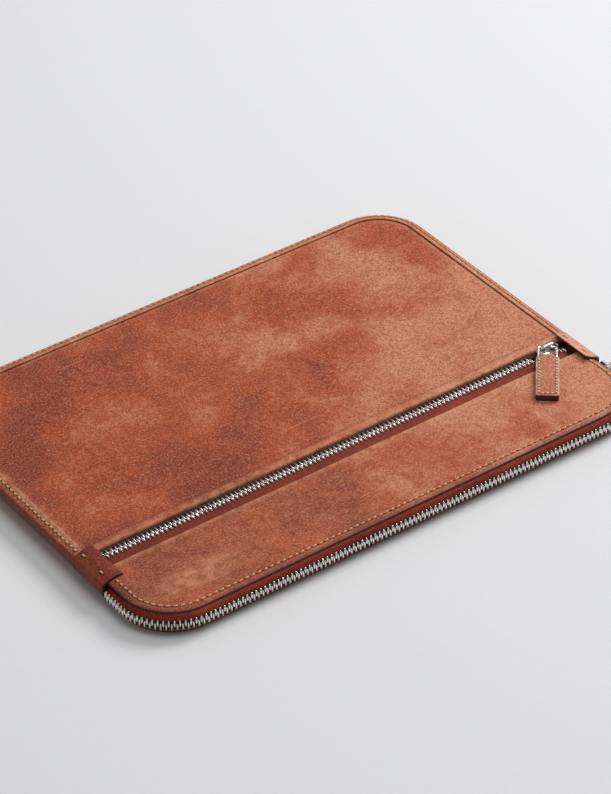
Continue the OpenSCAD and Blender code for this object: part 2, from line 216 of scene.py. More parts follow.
def sheet(name, outer, inner, materials, walls=(2, 2, 2, 2)):
    """Closed solid between two grids of points. Walls are the materials of the first row's wall, the last
    row's, the first column's and the last column's."""
    rows, columns = len(outer), len(outer[0])
    points = [p for row in outer for p in row] + [p for row in inner for p in row]
    base = rows * columns
    faces, kinds = [], []

    def at(i, j, layer):
        return layer * base + i * columns + j

    for i in range(rows - 1):
        for j in range(columns - 1):
            faces.append((at(i, j, 0), at(i, j + 1, 0), at(i + 1, j + 1, 0), at(i + 1, j, 0)))
            kinds.append(0)
            faces.append((at(i, j, 1), at(i + 1, j, 1), at(i + 1, j + 1, 1), at(i, j + 1, 1)))
            kinds.append(1)
    for i, kind in ((0, walls[0]), (rows - 1, walls[1])):
        for j in range(columns - 1):
            faces.append((at(i, j, 0), at(i, j + 1, 0), at(i, j + 1, 1), at(i, j, 1)))
            kinds.append(kind)
    for j, kind in ((0, walls[2]), (columns - 1, walls[3])):
        for i in range(rows - 1):
            faces.append((at(i, j, 0), at(i + 1, j, 0), at(i + 1, j, 1), at(i, j, 1)))
            kinds.append(kind)
    return piece(name, points, faces, materials, kinds)


def sweep(name, rings, materials, ring_material=None, cap_material=0):
    """Solid that joins equal rings of points one after the other, closed by a cap at each end."""
    size = len(rings[0])
    points = [p for ring in rings for p in ring]
    faces, kinds = [], []
    for i in range(len(rings) - 1):
        for j in range(size):
            k = (j + 1) % size
            faces.append((i * size + j, i * size + k, (i + 1) * size + k, (i + 1) * size + j))
            kinds.append(ring_material[j] if ring_material else 0)
    last = (len(rings) - 1) * size
    half = size // 2
    for start in (0, last):
        for j in range(half - 1):
            faces.append((start + j, start + j + 1, start + size - 2 - j, start + size - 1 - j))
            kinds.append(cap_material)
    return piece(name, points, faces, materials, kinds)


def tag(made, name, value):
    """Store value(x, y, z), in millimetres, on every vertex for a material to read."""
    layer = made.data.attributes.new(name, "FLOAT", "POINT")
    layer.data.foreach_set("value", [float(value(*(v.co / MM))) for v in made.data.vertices])


def dress(made, body, slot, *nodes):
    """Hang a piece on its body and hide the CAD nodes that it stands for; slot is not used."""
    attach(made, body)
    if nodes:
        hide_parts(*nodes)
    print(f"{made.name}: {len(made.data.vertices)} points, on {body}")
    return made


# %% [markdown]
# ## Edge paths
# The mouth zip and its gusset follow one U round the front, the binding follows the other U round the
# back. A path is a list of stations: a point on the outline and the direction inwards from it.

# %% Edge paths
def straight(start, end, inward, step):
    count = max(2, int(math.dist(start, end) / step) + 1)
    (x0, y0), (x1, y1) = start, end
    return [((x0 + (x1 - x0) * i / count, y0 + (y1 - y0) * i / count), inward) for i in range(count)]


def bend(centre, radius, from_deg, to_deg, steps):
    found = []
    for i in range(steps):
        a = math.radians(from_deg + (to_deg - from_deg) * i / steps)
        found.append(((centre[0] + radius * math.cos(a), centre[1] + radius * math.sin(a)),
                      (-math.cos(a), -math.sin(a))))
    return found


def edge_path(front, y_start, step=2.5, turn=20):
    """Stations from the left side at y_start round the front or the back to the right side."""
    r, y_far = (FRONT_R, FRONT_Y) if front else (BACK_R, BACK_Y)
    toward = -1 if front else 1
    y_turn = y_far - toward * r
    x_turn = HALF_W - r
    path = straight((-HALF_W, y_start), (-HALF_W, y_turn), (1, 0), step)
    path += bend((-x_turn, y_turn), r, 180, 180 - toward * 90, turn)
    path += straight((-x_turn, y_far), (x_turn, y_far), (0, -toward), step)
    path += bend((x_turn, y_turn), r, toward * 90, 0, turn)
    path += straight((HALF_W, y_turn), (HALF_W, y_start), (-1, 0), step)
    path.append(((HALF_W, y_start), (-1, 0)))
    return path


def inside(station, inset):
    (x, y), (nx, ny) = station
    return x + nx * inset, y + ny * inset


MOUTH_PATH = edge_path(True, FOLD_Y - 0.3)
BACK_PATH = edge_path(False, TAB_BACK - 2)
print(len(MOUTH_PATH), "stations round the mouth,", len(BACK_PATH), "round the back")


# %% [markdown]
# ## Colour and shader helpers
# Colours are picked as sRGB hex, as on a screen, and shaders want linear numbers, so one function turns
# them. One more function adds a shader node with its settings and its links.

# %% Colour and shader helpers
def hex_colour(code):
    """Linear colour with alpha from a code such as "#A3431E"."""
    channels = [int(code[i:i + 2], 16) / 255 for i in (1, 3, 5)]
    return [c / 12.92 if c <= 0.04045 else ((c + 0.055) / 1.055) ** 2.4 for c in channels] + [1.0]


def add(tree, kind, settings=None, values=None, links=None):
    """New node: settings are its properties, values fill its inputs and links feed them from sockets."""
    made = tree.nodes.new(kind)
    for key, value in (settings or {}).items():
        setattr(made, key, value)
    for key, value in (values or {}).items():
        made.inputs[key].default_value = value
    for key, socket in (links or {}).items():
        tree.links.new(socket, made.inputs[key])
    return made


def grade(tree, socket, stops):
    """Colour ramp: stops are (place, hex colour or grey level)."""
    ramp = add(tree, "ShaderNodeValToRGB", links={"Fac": socket})
    points = ramp.color_ramp.elements
    while len(points) < len(stops):
        points.new(0.5)
    for point, (place, colour) in zip(points, stops):
        point.position = place
        point.color = hex_colour(colour) if isinstance(colour, str) else (colour, colour, colour, 1)
    return ramp.outputs["Color"]


def mixed(tree, share, one, two, mode="MIX"):
    """Colour mix; share, one and two are sockets or plain values."""
    made = add(tree, "ShaderNodeMix", {"data_type": "RGBA", "blend_type": mode})
    for slot_index, value in ((0, share), (6, one), (7, two)):
        if isinstance(value, bpy.types.NodeSocket):
            tree.links.new(value, made.inputs[slot_index])
        else:
            made.inputs[slot_index].default_value = value
    return made.outputs[2]


def combined(tree, mode, one, two):
    """Math node; one and two are sockets or plain values."""
    made = add(tree, "ShaderNodeMath", {"operation": mode})
    for slot_index, value in enumerate((one, two)):
        if isinstance(value, bpy.types.NodeSocket):
            tree.links.new(value, made.inputs[slot_index])
        else:
            made.inputs[slot_index].default_value = value
    return made.outputs[0]


def start_material(name, **finish):
    """New material with a Principled shader: its tree, its shader and its coordinates in millimetres."""
    material = bpy.data.materials.new(name)
    material.use_nodes = True
    tree = material.node_tree
    shader = tree.nodes["Principled BSDF"]
    for key, value in finish.items():
        shader.inputs[key.replace("_", " ")].default_value = value
    where = add(tree, "ShaderNodeTexCoord")
    scaled = add(tree, "ShaderNodeMapping", values={"Scale": (1 / MM, 1 / MM, 1 / MM)},
                 links={"Vector": where.outputs["Object"]})
    return material, tree, shader, scaled.outputs["Vector"]


def clouds(tree, vector, size_mm, detail=3.0, rough=0.5, twist=0.0):
    """Noise whose patches are about size_mm across."""
    values = {"Scale": 1 / size_mm, "Detail": detail, "Roughness": rough, "Distortion": twist}
    return add(tree, "ShaderNodeTexNoise", values=values, links={"Vector": vector}).outputs["Fac"]


# %% [markdown]
# ## Waxed pull-up leather
# The panels are vegetable-tanned cowhide, drum-dyed cognac and stuffed with wax. Where such leather is bent
# or worn the wax moves and the colour lightens, so it shows big soft blotches, tan edges and fine pale
# scuffs. The same pale colour is also painted on rounded folds and rims as a highlight, and the pale flecks
# of the grain also stand in for its glints. The leather is painted paler towards the window on the right,
# as painted light, and darker where a vertex attribute says, as painted shade. The dye lies in patches
# about 46 mm across, with a mottle of 6.5 mm in them. The creases in it are about 1.7 mm apart, coarser
# than on a real hide, so that they show. The surface is satin: roughness about 0.48 and the IOR of wax,
# 1.45, with a low specular level, because the grain breaks up the reflection. The binding, the tabs, the
# pulls and the gusset use the same recipe with other dyes, and the two tabs' dyes are one leather painted
# in shade and in light.

# %% Leather materials
PATCH, MOTTLE, CREASE, FLECK, FINE = 46, 6.5, 1.7, 1.0, 0.8
# The brown of painted shade, put into creases, on edges turned from the light and beside the teeth
SHADE_BROWN = "#4A1D10"


def leather(name, deep, medium, pale, wear_and_highlight, roughness=0.48, relief=0.7, blotch=1.0, drift=0.0):
    """blotch: contrast of the dye patches. drift: how much paler the leather is painted towards +X, where
    the window is, per 100 mm, as painted light.
    """
    material, tree, shader, mm = start_material(name, Roughness=roughness, IOR=1.45, Specular_IOR_Level=0.2)
    big = clouds(tree, mm, PATCH, 3, 0.5, 0.5)
    small = clouds(tree, mm, MOTTLE, 5, 0.6)
    big_part = combined(tree, "MULTIPLY", big, 0.74)
    tone = combined(tree, "ADD", big_part, combined(tree, "MULTIPLY", small, 0.26))
    east = add(tree, "ShaderNodeSeparateXYZ", links={"Vector": mm}).outputs["X"]
    # Painted light: the tone rises towards +X, the side of the window, so the leather is paler there
    tone = combined(tree, "ADD", tone, combined(tree, "MULTIPLY", east, drift / 100))
    spread = 0.15 * blotch
    colour = grade(tree, tone, [(0.5 - spread, deep), (0.5, medium), (0.5 + spread, pale)])
    # Pale flecks of the grain; they also stand in for the grain's glints, partly painted highlight
    fleck_and_glint = grade(tree, clouds(tree, mm, FLECK, 2, 0.6), [(0.42, 0.0), (0.7, 0.5)])
    colour = mixed(tree, fleck_and_glint, colour, hex_colour(wear_and_highlight))
    grain = add(tree, "ShaderNodeTexVoronoi", {"feature": "DISTANCE_TO_EDGE"}, {"Scale": 1 / CREASE},
                {"Vector": mm}).outputs["Distance"]
    crease = grade(tree, clouds(tree, mm, CREASE, 2, 0.5, 0.8), [(0.41, 0.0), (0.49, 0.75), (0.57, 0.0)])
    colour = mixed(tree, crease, colour, hex_colour(deep))
    along = add(tree, "ShaderNodeMapping", values={"Rotation": (0, 0, 0.6), "Scale": (0.022, 0.9, 0.9)},
                links={"Vector": mm}).outputs["Vector"]
    scuff = grade(tree, add(tree, "ShaderNodeTexNoise", values={"Scale": 1.0, "Detail": 3.0},
                            links={"Vector": along}).outputs["Fac"], [(0.69, 0.0), (0.75, 0.4)])
    colour = mixed(tree, scuff, colour, hex_colour(wear_and_highlight))
    # Paler where the vertex attribute read here is set: real wear beside the binding and on the tabs, and
    # partly a painted highlight on rounded folds and on the pulls' rims
    wear_and_highlight_share = add(tree, "ShaderNodeAttribute", {"attribute_name": "wear_and_highlight"}).outputs["Fac"]
    wear_and_highlight_share = combined(tree, "MULTIPLY", wear_and_highlight_share, grade(tree, small, [(0.35, 0.15), (0.62, 1.0)]))
    colour = mixed(tree, wear_and_highlight_share, colour, hex_colour(wear_and_highlight))
    # Painted shade: the colour is darkened towards that brown where the vertex attribute read here is set
    shade = add(tree, "ShaderNodeAttribute", {"attribute_name": "painted_shade"}).outputs["Fac"]
    colour = mixed(tree, shade, colour, hex_colour(SHADE_BROWN))
    tree.links.new(colour, shader.inputs["Base Color"])
    gloss = grade(tree, small, [(0.3, roughness - 0.07), (0.7, roughness + 0.09)])
    tree.links.new(gloss, shader.inputs["Roughness"])
    coarse = combined(tree, "MINIMUM", grain, 0.22)
    fine = combined(tree, "MULTIPLY", clouds(tree, mm, FINE, 3, 0.6), 0.4)
    hide = combined(tree, "ADD", coarse, fine)
    bump = add(tree, "ShaderNodeBump", values={"Strength": relief, "Distance": 0.18 * MM},
               links={"Height": hide})
    tree.links.new(bump.outputs["Normal"], shader.inputs["Normal"])
    return material


def plain(name, colour, roughness, grain_mm, relief, darker=0.75, **finish):
    """One even finish with a fine grain."""
    material, tree, shader, mm = start_material(name, Roughness=roughness, **finish)
    grain = clouds(tree, mm, grain_mm, 3, 0.6)
    base = hex_colour(colour)
    dark = [c * darker for c in base[:3]] + [1.0]
    tree.links.new(mixed(tree, grade(tree, grain, [(0.35, 0.0), (0.65, 1.0)]), dark, base),
                   shader.inputs["Base Color"])
    bump = add(tree, "ShaderNodeBump", values={"Strength": relief, "Distance": 0.1 * MM},
               links={"Height": grain})
    tree.links.new(bump.outputs["Normal"], shader.inputs["Normal"])
    return material


# The panels and the binding are painted paler towards the window on the right: painted light
PANEL = leather("waxed_cognac_leather", "#752410", "#A3431E", "#C27E60", "#D2936E", drift=0.08)
BINDING = leather("binding_leather", "#883A20", "#A65436", "#BE785A", "#D69E7C", blotch=1.4, drift=0.07)
# The two tabs are the same leather: this copy is coloured darker, as painted shade on the left tab, and the
# next one paler, as painted light on the right tab
TAB_IN_SHADE = leather("tab_leather", "#5A1C10", "#742A18", "#8B3A24", "#A8623E", roughness=0.42, blotch=1.5)
TAB_IN_LIGHT = leather("lit_tab_leather", "#A86450", "#C48671", "#D6A38C", "#E6BFA6", roughness=0.45,
                 blotch=1.5)
PULL = leather("pull_leather", "#8C472C", "#A65B3C", "#BC7858", "#DEB096", blotch=1.4)
GUSSET = leather("gusset_leather", "#5A190D", "#742313", "#87311C", "#9A4A2C", roughness=0.62, relief=0.2)
FLESH = plain("flesh_side_suede", "#8C5A38", 0.9, 0.8, 0.5)
PAINTED = plain("painted_edge", "#482117", 0.45, 1.4, 0.12)
TAPE = plain("zip_tape_weave", "#1E0C09", 0.85, 0.5, 0.5)

# %% [markdown]
# ## Thread, nickel and cloth
# The thread is waxed linen, matt, tan on the panels and paler on the pulls. The teeth, sliders and rings
# are brass with polished nickel plating, which is a little warm and reflects the whole room. The lining is
# a plain cotton weave. Its threads would be 0.5 mm apart, and they are drawn 0.9 mm apart so that they
# show.

# %% Thread, nickel and cloth materials
THREAD = plain("waxed_tan_thread", "#DDAA78", 0.65, 0.3, 0.3)
PALE_THREAD = plain("waxed_pale_thread", "#F0D4B4", 0.65, 0.3, 0.3)
# Near-black for the awl holes: painted shade inside them
HOLE_SHADE = plain("stitch_hole_shade", "#2A100A", 0.9, 0.5, 0.1)
NICKEL = plain("polished_nickel", "#F6F2EB", 0.2, 0.8, 0.06, darker=0.92, Metallic=1.0)


# A wave node repeats every 0.314 units at a scale of 1
WAVE_LENGTH = 0.314
THREAD_GAP = 0.9


def woven(name, colour):
    """Plain weave: one wave along X times one along Y."""
    material, tree, shader, mm = start_material(name, Roughness=0.85)
    waves = []
    for axis in ("X", "Y"):
        wave = add(tree, "ShaderNodeTexWave", {"bands_direction": axis, "wave_profile": "SIN"},
                   {"Scale": WAVE_LENGTH / THREAD_GAP, "Distortion": 0.6}, {"Vector": mm})
        waves.append(wave.outputs["Fac"])
    weave = combined(tree, "MULTIPLY", *waves)
    base = hex_colour(colour)
    dark = [c * 0.6 for c in base[:3]] + [1.0]
    tree.links.new(mixed(tree, weave, dark, base), shader.inputs["Base Color"])
    bump = add(tree, "ShaderNodeBump", values={"Strength": 0.5, "Distance": 0.15 * MM},
               links={"Height": weave})
    tree.links.new(bump.outputs["Normal"], shader.inputs["Normal"])
    return material


LINING = woven("cotton_lining", "#A98A63")
print(len(bpy.data.materials), "materials")

# %% [markdown]
# ## Camera, light and floor
# The case is seen from its front left corner, from a little under 40 degrees above the table, through a
# long lens, so its edges stay nearly parallel. A large window on the right is the main light, so the
# shadow is soft and lies to the left. A weaker light hangs overhead, a little in front, and a broad faint
# wall behind on the right gives the metal something to reflect. The pale room fills the rest.

# %% Camera, light and floor
AIM = Vector((12.04, -3.54, 11.2)) * MM
DISTANCE, AZIMUTH, ELEVATION, ROLL = 1.7016, 35.344, 36.852, 0.996
LENS = 156.12


def look_from(azimuth, elevation):
    """Direction from the case to the camera; azimuth turns from the front to the left, in degrees."""
    a, e = math.radians(azimuth), math.radians(elevation)
    return Vector((-math.sin(a) * math.cos(e), -math.cos(a) * math.cos(e), math.sin(e)))


camera = bpy.data.objects.new("camera", bpy.data.cameras.new("camera"))
bpy.context.scene.collection.objects.link(camera)
backwards = look_from(AZIMUTH, ELEVATION)
facing = (-backwards).to_track_quat("-Z", "Y").to_matrix().to_4x4()
tilt = Matrix.Rotation(math.radians(-ROLL), 4, "Z")
camera.matrix_world = Matrix.Translation(AIM + backwards * DISTANCE) @ facing @ tilt
camera.data.lens = LENS
camera.data.sensor_width = 36
camera.data.clip_start, camera.data.clip_end = 0.05, 50
bpy.context.scene.camera = camera


def soft_light(name, place, size, power):
    """White round light that faces the case; place and size in metres, power in watts."""
    data = bpy.data.lights.new(name, "AREA")
    data.shape = "DISK"
    data.size = size
    data.energy = power
    made = bpy.data.objects.new(name, data)
    made.location = place
    made.rotation_mode = "QUATERNION"
    made.rotation_quaternion = (-Vector(place)).to_track_quat("-Z", "Y")
    bpy.context.scene.collection.objects.link(made)
    return made


soft_light("window", (1.6, 0.2, 1.45), 1.0, 33)
soft_light("ceiling", (0.25, -0.45, 1.95), 1.4, 13)
soft_light("far_wall", (1.2, 1.7, 1.56), 2.2, 7)
world = bpy.data.worlds.new("pale_room")
world.use_nodes = True
world.node_tree.nodes["Background"].inputs["Color"].default_value = hex_colour("#F2F3F5")
world.node_tree.nodes["Background"].inputs["Strength"].default_value = 0.34
bpy.context.scene.world = world
bpy.context.scene.view_settings.view_transform = "Standard"

FLOOR = plain("pale_table", "#D9D9DA", 0.85, 3.0, 0.02, darker=0.985, Specular_IOR_Level=0.05)
FLOOR_REACH, FLOOR_DROP = 3000, 0.2
floor_corners = [(x * FLOOR_REACH, y * FLOOR_REACH, 0) for x, y in ((-1, -1), (1, -1), (1, 1), (-1, 1))]
floor = piece("table", floor_corners, [(0, 1, 2, 3)], [FLOOR])
floor.location.z = -FLOOR_DROP * MM
print("camera at", [round(v, 3) for v in camera.matrix_world.translation])


# %% [markdown]
# ## The panels
# Three pieces of leather make the outside: the large front panel, the lower panel between the two zips, and
# the back. They could be cut from a cloth simulation, but a sewn panel on a case keeps its cut outline, so
# each is a grid laid on the height function instead. The front panel's edge along the zip is turned under,
# which makes a soft, pale, rounded fold about 4 mm wide. The lower panel bends where the mouth opens; here
# it is one mesh, hung on no body.

# %% Panels
def columns(count=150, crowd=0.6):
    """Places from -1 to 1, closer together near the ends."""
    found = []
    for i in range(count + 1):
        u = 2 * i / count - 1
        found.append(u * (1 - crowd) + crowd * math.sin(math.pi / 2 * u))
    return found


def panel_rows(y_from, y_to, inset, step=2.6, turn=16):
    """(y, half width) of each row between two Y positions of a panel, set in from the outline."""
    toward = 1 if y_to > y_from else -1
    r = (BACK_R if toward > 0 else FRONT_R)
    y_turn = y_to + toward * inset - toward * r
    count = int(abs(y_turn - y_from) / step)
    rows = [(y_from + (y_turn - y_from) * i / count, HALF_W - inset) for i in range(count)]
    for i in range(turn + 1):
        a = math.pi / 2 * i / turn
        rows.append((y_turn + toward * (r - inset) * math.sin(a), HALF_W - r + (r - inset) * math.cos(a)))
    return rows


# Profile of a turned edge: (distance from the fold, height over the flat leather)
FOLD = [(0.0, -1.15), (0.1, -0.7), (0.3, -0.3), (0.7, -0.02), (1.3, 0.12), (2.2, 0.16), (3.2, 0.1),
        (3.9, 0.0), (4.4, -0.1), (5.2, -0.04), (6.4, 0.0)]


def fold_rise(distance, strength=1.0):
    """Height of a turned edge over the flat leather, by distance from the fold."""
    return strength * float(np.interp(distance, [d for d, h in FOLD], [h for d, h in FOLD]))


def lay_panel(name, rows, side, materials, rise, walls):
    """Sheet of leather on the front (1) or the back (-1); rise(x, y) is added to its height."""
    def on_face(x, y):
        return x, y, middle(x, y) + side * (height(x, y, side) + rise(x, y))

    outer = [[on_face(w * u, y) for u in columns()] for y, w in rows]
    inner = [[(x, y, z - side * LEATHER_T) for x, y, z in row] for row in outer]
    return sheet(name, outer, inner, materials, walls)


def side_wear(x, y):
    """How worn the leather is where it comes out from under the binding."""
    return 0.45 * (1 - smooth((inset_of(x, y) - BINDING_W) / 3.2))


front_rows = [(PANEL_EDGE + d, HALF_W - RIM_IN) for d, h in FOLD]
front_rows += panel_rows(PANEL_EDGE + 8, BACK_Y - RIM_IN, RIM_IN)
front_leather = lay_panel("front_panel_leather", front_rows, 1, [PANEL, FLESH, PAINTED],
                          lambda x, y: fold_rise(y - PANEL_EDGE), (0, 2, 2, 2))
SEAM_AT = 4.8


def front_wear_and_highlight(x, y, z):
    """Paler beside the binding, from wear, and on the fold along the zip, from wear and a painted
    highlight.
    """
    return max(side_wear(x, y), 0.42 * (1 - smooth((y - PANEL_EDGE - 2) / 3.4)))


# The fold along the zip is painted paler: partly wear, partly a painted highlight on its rounded edge
tag(front_leather, "wear_and_highlight", front_wear_and_highlight)
# A dark line is painted in the crease behind the fold: painted shade
tag(front_leather, "painted_shade", lambda x, y, z: 0.35 * (1 - smooth(abs(y - PANEL_EDGE - SEAM_AT) / 0.9)))
dress(front_leather, "case", "cognac_leather", "front_panel")

# The lower panel's fold is flatter than the front panel's
LOWER_FOLD = 0.55
lower_rows = [(LOWER_EDGE - d, HALF_W - PANEL_IN) for d, h in FOLD]
lower_rows += panel_rows(LOWER_EDGE - 8, FRONT_Y + PANEL_IN, PANEL_IN)
lower_leather = lay_panel("lower_panel_leather", lower_rows, 1, [PANEL, FLESH, PAINTED],
                          lambda x, y: fold_rise(LOWER_EDGE - y, LOWER_FOLD), (0, 2, 2, 2))


WORN_X, WORN_Y, WORN_W, WORN_D = -108, FRONT_Y + 22, 26, 9


def lower_wear_and_highlight(x, y, z):
    """Paler along the zip, from wear and a painted highlight on the fold, in one worn patch near the left
    end, and a little all over.
    """
    patch = math.exp(-((x - WORN_X) / WORN_W) ** 2 - ((y - WORN_Y) / WORN_D) ** 2)
    along_zip = 0.5 * (1 - smooth((LOWER_EDGE - y) / 6))
    return max(along_zip, 0.7 * patch, 0.12)


# Along the zip the paleness is partly wear, partly a painted highlight on the rounded fold
tag(lower_leather, "wear_and_highlight", lower_wear_and_highlight)
# Darker towards the sewn edge, where the leather curves down out of the light: painted shade
tag(lower_leather, "painted_shade", lambda x, y, z: 0.5 * (1 - smooth((inset_of(x, y) - PANEL_IN) / 2.6)))
soften(lower_leather, 0.35)
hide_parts("lower_panel", "lower_panel_root")
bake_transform(lower_leather)

back_rows = [(y, w) for y, w in reversed(panel_rows(FOLD_Y, FRONT_Y + PANEL_IN, PANEL_IN))]
for y in np.arange(FOLD_Y + 2, -2, 2.5):
    back_rows.append((float(y), HALF_W - PANEL_IN + (PANEL_IN - RIM_IN) * smooth((y - FOLD_Y) / 12)))
back_rows += panel_rows(0, BACK_Y - RIM_IN, RIM_IN)
back_leather = lay_panel("back_panel_leather", back_rows, -1, [PANEL, FLESH, PAINTED],
                         lambda x, y: 0.0, (2, 2, 2, 2))
tag(back_leather, "wear_and_highlight", lambda x, y, z: side_wear(x, y))
tag(back_leather, "painted_shade", lambda x, y, z: 0.0)
soften(back_leather, 0.3)
dress(back_leather, "case", "cognac_leather", "back_panel")

# %% [markdown]
# ## The edge binding
# A strip of leather is folded over the sewn edge and stitched through, from one tab round the back to the
# other. It could be a curve with a bevel profile, but its section has to sit on the puffed leather, which
# changes along the edge, so a section is worked out at every station. Both cut edges are painted dark, and
# the upper one is pared thin.

# %% Edge binding
# Places from the cut edge inwards, as shares of the reach, and the share of the thickness where it is pared
WRAP_SHARES = (1.0, 0.97, 0.85, 0.68, 0.54, 0.4, 0.3)
PARED = {1.0: 0.4, 0.97: 0.8}


def wrap_section(station, reach_front, reach_back, thick, lift=0.0):
    """Closed section of leather folded over the edge: outer points from front to back, then the inner ones
    back again. lift: how far the front end curls up."""
    def on_leather(inset, over, side):
        x, y = inside(station, inset)
        curl = 0.0
        if side > 0:
            curl = lift * max(0.0, (inset - reach_front * 0.45) / (reach_front * 0.55)) ** 2
        return (x, y, middle(x, y) + side * (height(x, y, side) + over + curl))

    def on_rim(inset, z):
        x, y = inside(station, inset)
        return (x, y, middle(x, y) + z)

    rim = RIM_H + thick
    outer = [on_leather(reach_front, 0.08, 1)]
    outer += [on_leather(reach_front * s, thick * PARED.get(s, 1.0), 1) for s in WRAP_SHARES]
    outer += [on_rim(0.9, rim + 0.15), on_rim(0.25, rim - 0.7), on_rim(0.0, rim * 0.4),
              on_rim(0.0, -rim * 0.4), on_rim(0.25, -rim + 0.7), on_rim(0.9, -rim - 0.15)]
    outer += [on_leather(reach_back * s, thick, -1) for s in reversed(WRAP_SHARES)]
    outer.append(on_leather(reach_back, 0.08, -1))
    inner = []
    for i, point in enumerate(outer):
        x, y = inside(station, RIM_IN + 0.3)
        front = i < len(outer) / 2
        side = 1 if front else -1
        reach = reach_front if front else reach_back
        depth = math.hypot(point[0] - station[0][0], point[1] - station[0][1])
        depth = min(max(depth, RIM_IN + 0.2), reach)
        mid = middle(x, y)
        inner.append(on_leather(depth, 0.02, side) if abs(point[2] - mid) > RIM_H else
                     (x, y, mid + max(min(point[2] - mid, RIM_H), -RIM_H)))
    return outer + inner[::-1]


def wrap_kinds(size):
    """Materials round a wrap section: 1, the paint, on the two cut edges and 0, the leather, elsewhere."""
    half = size // 2
    return [1 if j in (0, half - 2, half - 1, size - 1) else 0 for j in range(size)]


sections = [wrap_section(s, BINDING_W, BINDING_W, BINDING_T) for s in BACK_PATH]
binding = sweep("edge_binding_leather", sections, [BINDING, PAINTED], wrap_kinds(len(sections[0])), 1)
tag(binding, "wear_and_highlight", lambda x, y, z: 0.45 * smooth((inset_of(x, y) - 1.0) / 3.0))
# Darker on the binding's outer wall, which faces down and away from the light: painted shade
tag(binding, "painted_shade", lambda x, y, z: 0.6 * (1 - smooth(inset_of(x, y) / 1.6)))
soften(binding, 0.2)
dress(binding, "case", "cognac_leather", "edge_binding")

# %% [markdown]
# ## The tabs
# A short piece of leather is folded over each side, where the mouth zip ends, and held by two single
# stitches through both leaves. Both are the same leather: the left one is coloured darker than the panels,
# as painted shade, and the right one paler, as painted light. The right one also curls up a little at its
# inner edge. They use the same section as the binding, swept along a straight side.

# %% Tabs
TAB_PROUD, TAB_STEPS = 0.35, 10


def tab_wear(x, y, z):
    """Rubbed where the leather turns over the edge."""
    return 0.35 * (1 - smooth(abs(HALF_W - abs(x) - 0.8) / 1.6))


# The left tab gets the leather painted in shade, the right one the same leather painted lit
for side, node, tab_finish, curl in ((-1, "tab_left", TAB_IN_SHADE, 0.15), (1, "tab_right", TAB_IN_LIGHT, 2.2)):
    edge_x = side * (HALF_W + TAB_PROUD)
    stations = [((edge_x, TAB_FRONT + (TAB_BACK - TAB_FRONT) * i / TAB_STEPS), (-side, 0))
                for i in range(TAB_STEPS + 1)]
    sections = [wrap_section(s, TAB_REACH[side] + TAB_PROUD, TAB_BACK_REACH, TAB_T, curl) for s in stations]
    tab = sweep(node + "_leather", sections, [tab_finish, PAINTED], wrap_kinds(len(sections[0])), 1)
    tag(tab, "wear_and_highlight", tab_wear)
    # Darker at both ends of each tab, where it meets the neighbouring pieces: painted shade
    tag(tab, "painted_shade", lambda x, y, z: 0.25 * (1 - smooth(min(y - TAB_FRONT, TAB_BACK - y) / 1.2)))
    soften(tab, 0.35, 3)
    dress(tab, "case", "tab_leather", node)

# %% [markdown]
# ## The gusset of the mouth zip
# From under each panel a band of thin, smooth leather curves out and down to the teeth and carries them.
# The band is swept round the mouth, and near the tabs it flattens as the case gets thinner. Beside the
# teeth it is near-black zip tape, which shows between them. The front half moves with the flap and the
# back half stays.

# %% Gusset
# The band's outer face: (distance in from the outline, share of the height)
BAND = [(9.0, 1.0), (4.0, 1.0), (3.2, 0.99), (2.4, 0.93), (1.7, 0.8), (1.2, 0.62), (0.85, 0.4), (0.7, 0.15),
        (0.7, 0.0)]
BAND_T, BAND_FOOT = 0.6, 0.9
# The stretches of the section that are tape: the last two of the outer face and the foot
TAPE_STRETCHES = (6, 7, 8)


def gusset_section(station, side):
    x, y = inside(station, PANEL_IN)
    top = height(x, y, -1) - LEATHER_T + 0.3
    outer, inner = [], []
    for inset, share in BAND:
        px, py = inside(station, inset)
        qx, qy = inside(station, inset + BAND_T * (1 - share * 0.6))
        outer.append((px, py, MID_Z + side * (BAND_FOOT + (top - BAND_FOOT) * share)))
        inner.append((qx, qy, MID_Z + side * (BAND_FOOT + (top - BAND_FOOT - BAND_T) * share)))
    return outer + inner[::-1]


for side, body_name, node in ((1, "mouth_flap", "main_tape_front"), (-1, "case", "main_tape_back")):
    kinds = [1 if j in TAPE_STRETCHES else 0 for j in range(2 * len(BAND))]
    gusset = sweep(node + "_gusset", [gusset_section(s, side) for s in MOUTH_PATH], [GUSSET, TAPE], kinds)
    tag(gusset, "wear_and_highlight", lambda x, y, z: 0.0)
    tag(gusset, "painted_shade", lambda x, y, z: 0.0)
    dress(gusset, body_name, "zip_tape", node)

# %% [markdown]
# ## Zip teeth
# Each metal tooth is stamped: a foot that clamps the tape, a neck and a small hooked head that passes the
# centre line between two heads of the other row. One tooth is modelled and rounded, then its points are
# copied along the zip. An array modifier could do that on the straight zip, but the mouth's rows run round
# two corners. Beside the right tab, two pairs of the pocket's teeth lie past the slider and are parted.

# %% Zip teeth
PITCH, HOOK, TOOTH_W, TOOTH_T = 2.54, 0.75, 0.78, 2.0
POCKET_REACH, MOUTH_REACH = 2.95, 2.5
# From the end of a CAD row to the middle of its first tooth
END_GAP = 0.58
# The parted teeth: (how far past the slider's middle, how far from the centre line)
PARTED = ((6.1, 1.5), (8.0, 2.3))


